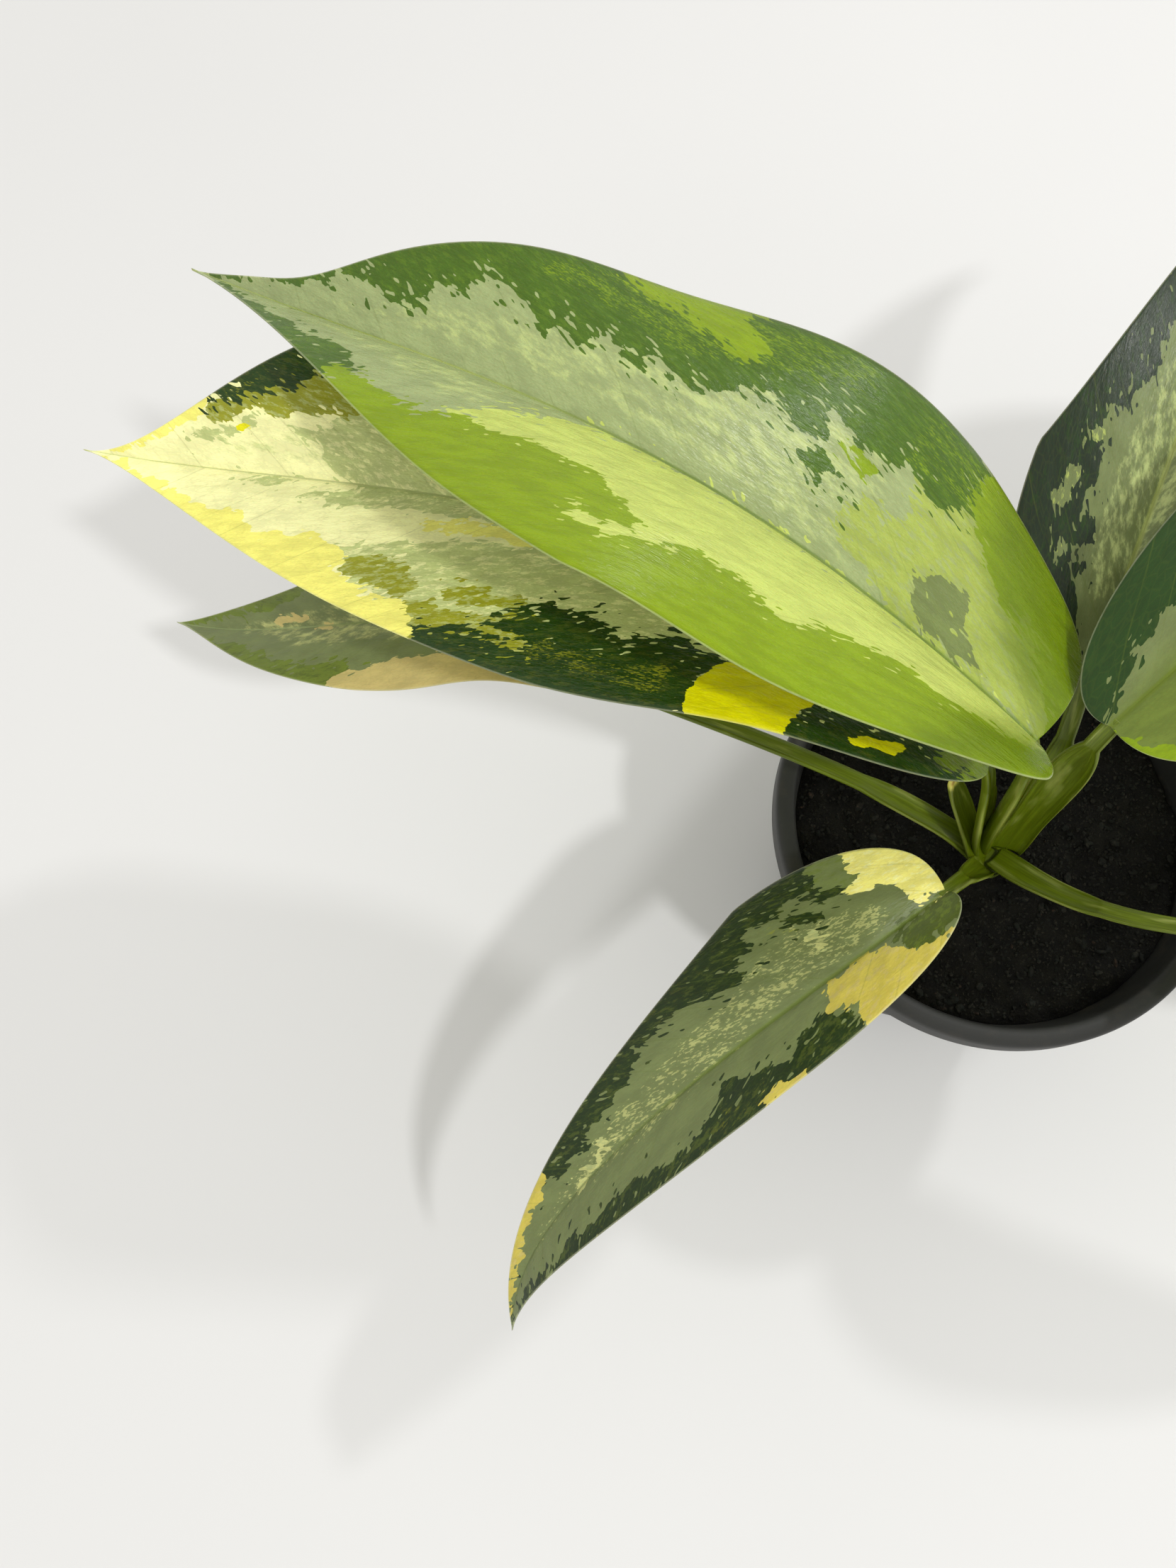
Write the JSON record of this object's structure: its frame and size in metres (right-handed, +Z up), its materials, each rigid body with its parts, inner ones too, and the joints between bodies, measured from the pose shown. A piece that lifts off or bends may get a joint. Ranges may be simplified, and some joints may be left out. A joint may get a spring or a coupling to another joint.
{
  "type": "potted suvarnabhumi aglaonema",
  "caption": "Potted foliage plant: broad pointed leaves with green, lime, cream and grey markings, on winged stalks round a short cane, in a round black nursery pot of dark potting mix",
  "frame": {"origin": "on the surface the pot stands on, at the centre of the flat pad under the pot", "axes": "+Z up along the pot's axis, +X to the picture's right, +Y towards the picture's top edge"},
  "size_m": [0.5193, 0.4002, 0.2723],
  "materials": {
    "pot": "satin",
    "soil": "matte",
    "cane": "matte",
    "petiole": "satin",
    "blade_1": "satin",
    "blade_2": "satin",
    "blade_3": "satin",
    "blade_4": "satin",
    "blade_5": "satin",
    "blade_6": "satin",
    "blade_7": "satin"
  },
  "bodies": {
    "root": {"pot": "pot", "soil": "soil", "cane": "cane", "cut_petiole": "petiole", "leaf_1_blade": "blade_1", "leaf_1_petiole": "petiole", "leaf_2_blade": "blade_2", "leaf_2_petiole": "petiole", "leaf_3_blade": "blade_3", "leaf_3_petiole": "petiole", "leaf_4_blade": "blade_4", "leaf_4_petiole": "petiole", "leaf_5_blade": "blade_5", "leaf_5_petiole": "petiole", "leaf_6_blade": "blade_6", "leaf_6_petiole": "petiole", "leaf_7_blade": "blade_7", "leaf_7_petiole": "petiole"}
  },
  "joints": []
}
